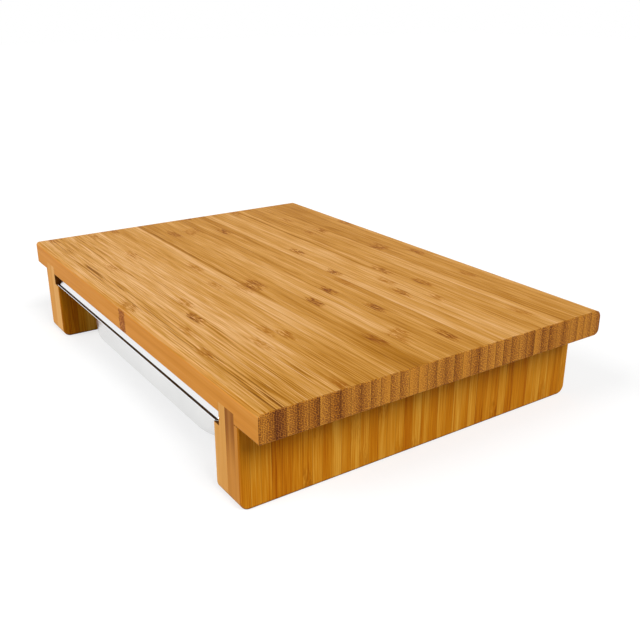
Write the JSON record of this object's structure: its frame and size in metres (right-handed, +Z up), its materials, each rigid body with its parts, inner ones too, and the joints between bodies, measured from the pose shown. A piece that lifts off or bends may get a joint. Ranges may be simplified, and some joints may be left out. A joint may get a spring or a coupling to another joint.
{
  "type": "bamboo cutting board",
  "caption": "Laminated bamboo cutting board on two full-width end panels, with a pressed steel catch tray that slides out from grooves under the top.",
  "frame": {"origin": "on the table, under the middle of the board", "axes": "+Z up, +X along the board's length towards the right end panel, -Y towards the front side, where the tray comes out"},
  "size_m": [0.43, 0.3, 0.08],
  "materials": {
    "top_bamboo": "oiled, satin",
    "leg_bamboo": "oiled, satin",
    "tray_steel": "satin"
  },
  "bodies": {
    "board": {"top_strip_01": "top_bamboo", "top_strip_02": "top_bamboo", "top_strip_03": "top_bamboo", "top_strip_04": "top_bamboo", "top_strip_05": "top_bamboo", "top_strip_06": "top_bamboo", "top_strip_07": "top_bamboo", "top_strip_08": "top_bamboo", "top_strip_09": "top_bamboo", "top_strip_10": "top_bamboo", "top_strip_11": "top_bamboo", "top_strip_12": "top_bamboo", "top_strip_13": "top_bamboo", "top_strip_14": "top_bamboo", "top_strip_15": "top_bamboo", "top_strip_16": "top_bamboo", "top_strip_17": "top_bamboo", "top_strip_18": "top_bamboo", "top_strip_19": "top_bamboo", "top_strip_20": "top_bamboo", "top_strip_21": "top_bamboo", "top_strip_22": "top_bamboo", "top_strip_23": "top_bamboo", "top_strip_24": "top_bamboo", "top_strip_25": "top_bamboo", "top_strip_26": "top_bamboo", "top_strip_27": "top_bamboo", "top_strip_28": "top_bamboo", "top_strip_29": "top_bamboo", "top_strip_30": "top_bamboo", "top_strip_31": "top_bamboo", "top_strip_32": "top_bamboo", "top_strip_33": "top_bamboo", "top_strip_34": "top_bamboo", "top_strip_35": "top_bamboo", "top_strip_36": "top_bamboo", "top_strip_37": "top_bamboo", "top_strip_38": "top_bamboo", "right_leg_outer_staves": "leg_bamboo", "right_leg_inner_staves": "leg_bamboo", "left_leg_outer_staves": "leg_bamboo", "left_leg_inner_staves": "leg_bamboo"},
    "drawer": {"tray": "tray_steel"}
  },
  "joints": [
    {"name": "tray_slide", "type": "slide", "parent": "board", "child": "drawer", "axis": [0, -1, 0], "range_m": [-0.23, 0.2]}
  ]
}
